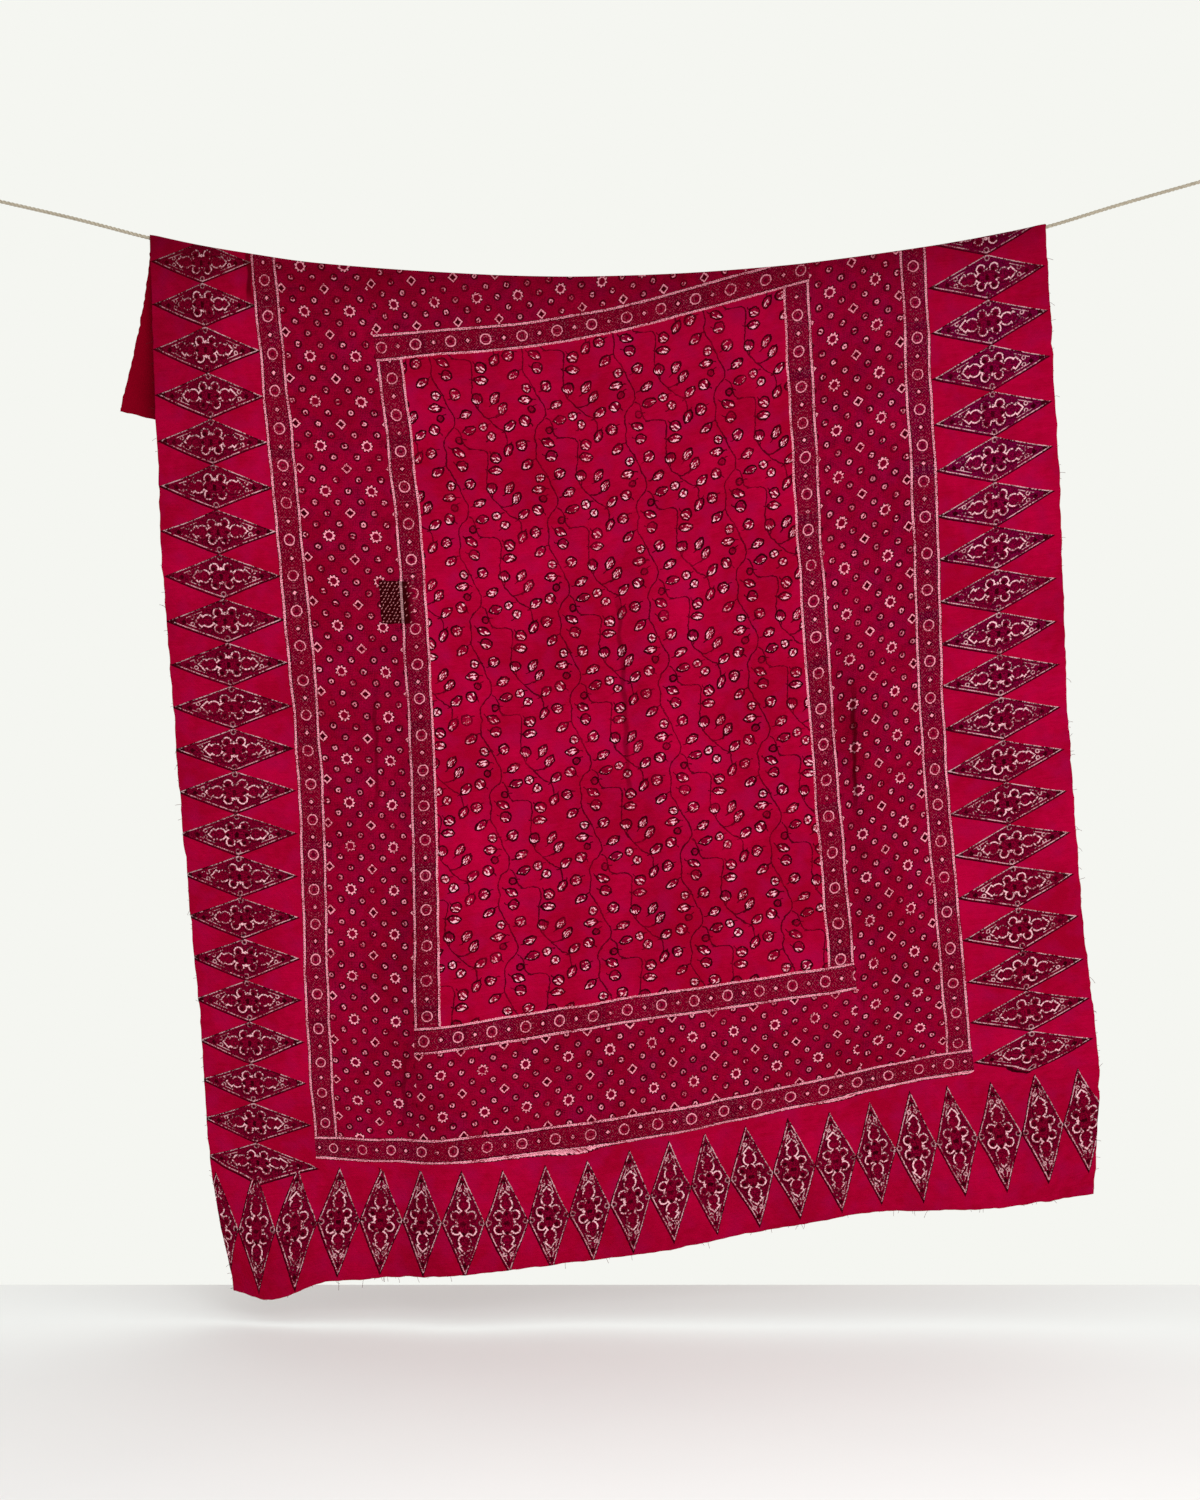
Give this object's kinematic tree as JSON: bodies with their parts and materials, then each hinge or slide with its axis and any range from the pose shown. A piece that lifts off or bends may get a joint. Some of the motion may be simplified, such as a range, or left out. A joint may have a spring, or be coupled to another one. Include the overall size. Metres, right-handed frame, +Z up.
{
  "type": "kantha quilt on a rope line",
  "caption": "Crimson block-printed kantha quilt with a mended spot, hung over a sagging natural-fibre rope line whose ends are tied back into loops.",
  "frame": {"origin": "the point where the left loop of the line bears on its hook", "axes": "+X along the line to the right, +Y away from the viewer through the cloth, +Z up"},
  "size_m": [2.1891, 0.0927, 1.8423],
  "materials": {
    "quilt_cloth": "matte hand-stitched cotton, block printed",
    "patch_cloth": "matte darned cotton",
    "rope_fibre": "matte twisted plant fibre",
    "twine": "matte twisted twine"
  },
  "bodies": {
    "root": {"quilt": "quilt_cloth", "mend_patch": "patch_cloth", "line": "rope_fibre", "line_loop_left": "rope_fibre", "line_loop_right": "rope_fibre", "seizing_left": "twine", "seizing_right": "twine"}
  },
  "joints": []
}
